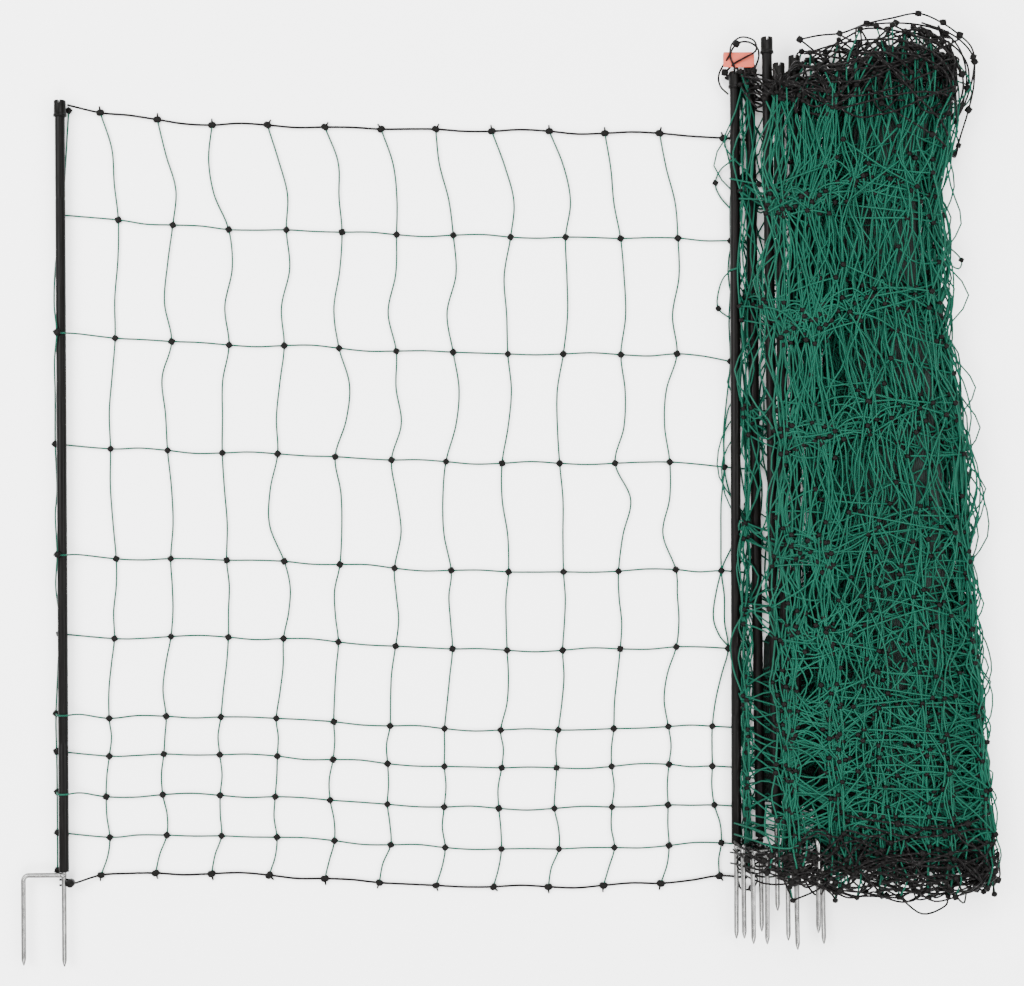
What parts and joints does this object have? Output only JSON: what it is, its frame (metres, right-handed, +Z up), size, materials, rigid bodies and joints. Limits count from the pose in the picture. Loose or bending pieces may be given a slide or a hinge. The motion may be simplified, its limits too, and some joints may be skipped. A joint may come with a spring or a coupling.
{
  "type": "electric poultry netting",
  "caption": "Electric poultry netting laid flat: one panel of green cord mesh spread from its end post, the rest folded beside it with its double-spike posts.",
  "frame": {"origin": "centre of the outline, on the floor under it", "axes": "+X from the end post to the folded net, +Y up along the posts towards their heads, +Z up"},
  "size_m": [1.4186, 1.3684, 0.0842],
  "materials": {
    "post_plastic": "moulded black plastic, slightly glossy",
    "steel": "bright galvanised steel rod",
    "green_cord": "twisted green plastic twine",
    "black_cord": "twisted black twine with steel wires",
    "tag": "plain salmon card-like plastic"
  },
  "bodies": {
    "root": {"net_mesh": "green_cord", "top_line": "black_cord", "bottom_line": "black_cord", "folded_net": "green_cord", "folded_net_at_posts": "green_cord", "end_post_line_clip": "post_plastic", "blank_tag": "tag", "end_post_tube": "post_plastic", "end_post_head": "post_plastic", "end_post_double_spike": "steel", "post_2_tube": "post_plastic", "post_2_head": "post_plastic", "post_2_double_spike": "steel", "post_3_tube": "post_plastic", "post_3_head": "post_plastic", "post_3_double_spike": "steel", "post_4_tube": "post_plastic", "post_4_head": "post_plastic", "post_4_double_spike": "steel", "post_5_tube": "post_plastic", "post_5_head": "post_plastic", "post_5_double_spike": "steel", "post_6_tube": "post_plastic", "post_6_head": "post_plastic", "post_6_double_spike": "steel", "post_7_tube": "post_plastic", "post_7_head": "post_plastic", "post_7_double_spike": "steel"}
  },
  "joints": []
}
